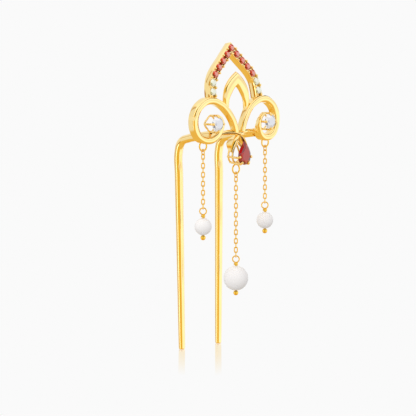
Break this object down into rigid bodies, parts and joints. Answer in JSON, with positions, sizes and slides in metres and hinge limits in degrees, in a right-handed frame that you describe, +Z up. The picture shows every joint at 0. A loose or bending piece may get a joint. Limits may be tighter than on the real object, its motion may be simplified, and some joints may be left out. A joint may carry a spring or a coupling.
{
  "type": "hair pin",
  "caption": "Gold hair fork with a scrolled, pointed-arch head set with red and clear stones, and pearl drops hanging on fine chains.",
  "frame": {"origin": "midway between the two prong tips, in the plane of their flat ends", "axes": "+Z up along the prongs to the arch, +X to the right seen from the front, -Y out of the ornament's front face"},
  "size_m": [0.0394, 0.0241, 0.1018],
  "materials": {
    "gold": "polished gold plate",
    "red_stone": "faceted, polished",
    "clear_stone": "faceted, polished",
    "pearl": "pearl lustre"
  },
  "bodies": {
    "fork": {"left_prong": "gold", "right_prong": "gold", "left_scroll": "gold", "right_scroll": "gold", "outer_arch": "gold", "inner_arch": "gold", "left_leaf": "gold", "right_leaf": "gold", "left_lower_leaf": "gold", "right_lower_leaf": "gold", "left_stone_basket": "gold", "right_stone_basket": "gold", "pear_basket": "gold", "left_hang_ring": "gold", "centre_hang_ring": "gold", "right_hang_ring": "gold", "arch_red_stone_1": "red_stone", "arch_red_stone_2": "red_stone", "arch_red_stone_3": "red_stone", "arch_red_stone_4": "red_stone", "arch_red_stone_5": "red_stone", "arch_red_stone_6": "red_stone", "arch_red_stone_7": "red_stone", "arch_red_stone_8": "red_stone", "arch_red_stone_9": "red_stone", "arch_clear_stone_1": "clear_stone", "arch_clear_stone_2": "clear_stone", "arch_clear_stone_3": "clear_stone", "arch_clear_stone_4": "clear_stone", "left_round_stone": "clear_stone", "right_round_stone": "clear_stone", "pear_stone": "red_stone"},
    "left_chain_1": {"left_chain_1": "gold"},
    "left_chain_2": {"left_chain_2": "gold"},
    "left_chain_3": {"left_chain_3": "gold"},
    "left_chain_4": {"left_chain_4": "gold"},
    "left_chain_5": {"left_chain_5": "gold"},
    "left_chain_6": {"left_chain_6": "gold"},
    "left_head_pin": {"left_head_pin": "gold"},
    "left_pearl": {"left_pearl": "pearl"},
    "centre_chain_1": {"centre_chain_1": "gold"},
    "centre_chain_2": {"centre_chain_2": "gold"},
    "centre_chain_3": {"centre_chain_3": "gold"},
    "centre_chain_4": {"centre_chain_4": "gold"},
    "centre_chain_5": {"centre_chain_5": "gold"},
    "centre_chain_6": {"centre_chain_6": "gold"},
    "centre_chain_7": {"centre_chain_7": "gold"},
    "centre_chain_8": {"centre_chain_8": "gold"},
    "centre_chain_9": {"centre_chain_9": "gold"},
    "centre_head_pin": {"centre_head_pin": "gold"},
    "centre_pearl": {"centre_pearl": "pearl"},
    "right_chain_1": {"right_chain_1": "gold"},
    "right_chain_2": {"right_chain_2": "gold"},
    "right_chain_3": {"right_chain_3": "gold"},
    "right_chain_4": {"right_chain_4": "gold"},
    "right_chain_5": {"right_chain_5": "gold"},
    "right_chain_6": {"right_chain_6": "gold"},
    "right_head_pin": {"right_head_pin": "gold"},
    "right_pearl": {"right_pearl": "pearl"}
  },
  "joints": [
    {"name": "left_swing_1", "type": "hinge", "parent": "fork", "child": "left_chain_1", "pos_m": [-0.0142, -0.0163, 0.06753], "axis": [1, 0, 0], "range_deg": [-18, 8]},
    {"name": "left_sway_2", "type": "hinge", "parent": "left_chain_1", "child": "left_chain_2", "pos_m": [-0.0142, -0.0163, 0.06463], "axis": [0, 1, 0], "range_deg": [-4, 8]},
    {"name": "left_swing_3", "type": "hinge", "parent": "left_chain_2", "child": "left_chain_3", "pos_m": [-0.0142, -0.0163, 0.06173], "axis": [1, 0, 0], "range_deg": [-18, 8]},
    {"name": "left_sway_4", "type": "hinge", "parent": "left_chain_3", "child": "left_chain_4", "pos_m": [-0.0142, -0.0163, 0.05883], "axis": [0, 1, 0], "range_deg": [-4, 8]},
    {"name": "left_swing_5", "type": "hinge", "parent": "left_chain_4", "child": "left_chain_5", "pos_m": [-0.0142, -0.0163, 0.05593], "axis": [1, 0, 0], "range_deg": [-18, 8]},
    {"name": "left_sway_6", "type": "hinge", "parent": "left_chain_5", "child": "left_chain_6", "pos_m": [-0.0142, -0.0163, 0.05303], "axis": [0, 1, 0], "range_deg": [-4, 8]},
    {"name": "left_pin_swing", "type": "hinge", "parent": "left_chain_6", "child": "left_head_pin", "pos_m": [-0.0142, -0.0163, 0.04861], "axis": [1, 0, 0], "range_deg": [-18, 8]},
    {"name": "left_pearl_spin", "type": "hinge", "parent": "left_head_pin", "child": "left_pearl", "pos_m": [-0.0142, -0.0163, 0.04276], "axis": [0, 0, 1], "continuous": true},
    {"name": "centre_swing_1", "type": "hinge", "parent": "fork", "child": "centre_chain_1", "pos_m": [0, -0.017, 0.05948], "axis": [1, 0, 0], "range_deg": [-12, 4]},
    {"name": "centre_sway_2", "type": "hinge", "parent": "centre_chain_1", "child": "centre_chain_2", "pos_m": [0, -0.017, 0.05658], "axis": [0, 1, 0], "range_deg": [-4, 4]},
    {"name": "centre_swing_3", "type": "hinge", "parent": "centre_chain_2", "child": "centre_chain_3", "pos_m": [0, -0.017, 0.05368], "axis": [1, 0, 0], "range_deg": [-12, 4]},
    {"name": "centre_sway_4", "type": "hinge", "parent": "centre_chain_3", "child": "centre_chain_4", "pos_m": [0, -0.017, 0.05078], "axis": [0, 1, 0], "range_deg": [-4, 4]},
    {"name": "centre_swing_5", "type": "hinge", "parent": "centre_chain_4", "child": "centre_chain_5", "pos_m": [0, -0.017, 0.04788], "axis": [1, 0, 0], "range_deg": [-12, 4]},
    {"name": "centre_sway_6", "type": "hinge", "parent": "centre_chain_5", "child": "centre_chain_6", "pos_m": [0, -0.017, 0.04498], "axis": [0, 1, 0], "range_deg": [-4, 4]},
    {"name": "centre_swing_7", "type": "hinge", "parent": "centre_chain_6", "child": "centre_chain_7", "pos_m": [0, -0.017, 0.04208], "axis": [1, 0, 0], "range_deg": [-12, 4]},
    {"name": "centre_sway_8", "type": "hinge", "parent": "centre_chain_7", "child": "centre_chain_8", "pos_m": [0, -0.017, 0.03918], "axis": [0, 1, 0], "range_deg": [-4, 4]},
    {"name": "centre_swing_9", "type": "hinge", "parent": "centre_chain_8", "child": "centre_chain_9", "pos_m": [0, -0.017, 0.03628], "axis": [1, 0, 0], "range_deg": [-12, 4]},
    {"name": "centre_pin_swing", "type": "hinge", "parent": "centre_chain_9", "child": "centre_head_pin", "pos_m": [0, -0.017, 0.03186], "axis": [1, 0, 0], "range_deg": [-12, 4]},
    {"name": "centre_pearl_spin", "type": "hinge", "parent": "centre_head_pin", "child": "centre_pearl", "pos_m": [0, -0.017, 0.02473], "axis": [0, 0, 1], "continuous": true},
    {"name": "right_swing_1", "type": "hinge", "parent": "fork", "child": "right_chain_1", "pos_m": [0.0142, -0.0163, 0.06753], "axis": [1, 0, 0], "range_deg": [-18, 8]},
    {"name": "right_sway_2", "type": "hinge", "parent": "right_chain_1", "child": "right_chain_2", "pos_m": [0.0142, -0.0163, 0.06463], "axis": [0, -1, 0], "range_deg": [-4, 8]},
    {"name": "right_swing_3", "type": "hinge", "parent": "right_chain_2", "child": "right_chain_3", "pos_m": [0.0142, -0.0163, 0.06173], "axis": [1, 0, 0], "range_deg": [-18, 8]},
    {"name": "right_sway_4", "type": "hinge", "parent": "right_chain_3", "child": "right_chain_4", "pos_m": [0.0142, -0.0163, 0.05883], "axis": [0, -1, 0], "range_deg": [-4, 8]},
    {"name": "right_swing_5", "type": "hinge", "parent": "right_chain_4", "child": "right_chain_5", "pos_m": [0.0142, -0.0163, 0.05593], "axis": [1, 0, 0], "range_deg": [-18, 8]},
    {"name": "right_sway_6", "type": "hinge", "parent": "right_chain_5", "child": "right_chain_6", "pos_m": [0.0142, -0.0163, 0.05303], "axis": [0, -1, 0], "range_deg": [-4, 8]},
    {"name": "right_pin_swing", "type": "hinge", "parent": "right_chain_6", "child": "right_head_pin", "pos_m": [0.0142, -0.0163, 0.04861], "axis": [1, 0, 0], "range_deg": [-18, 8]},
    {"name": "right_pearl_spin", "type": "hinge", "parent": "right_head_pin", "child": "right_pearl", "pos_m": [0.0142, -0.0163, 0.04276], "axis": [0, 0, 1], "continuous": true}
  ]
}
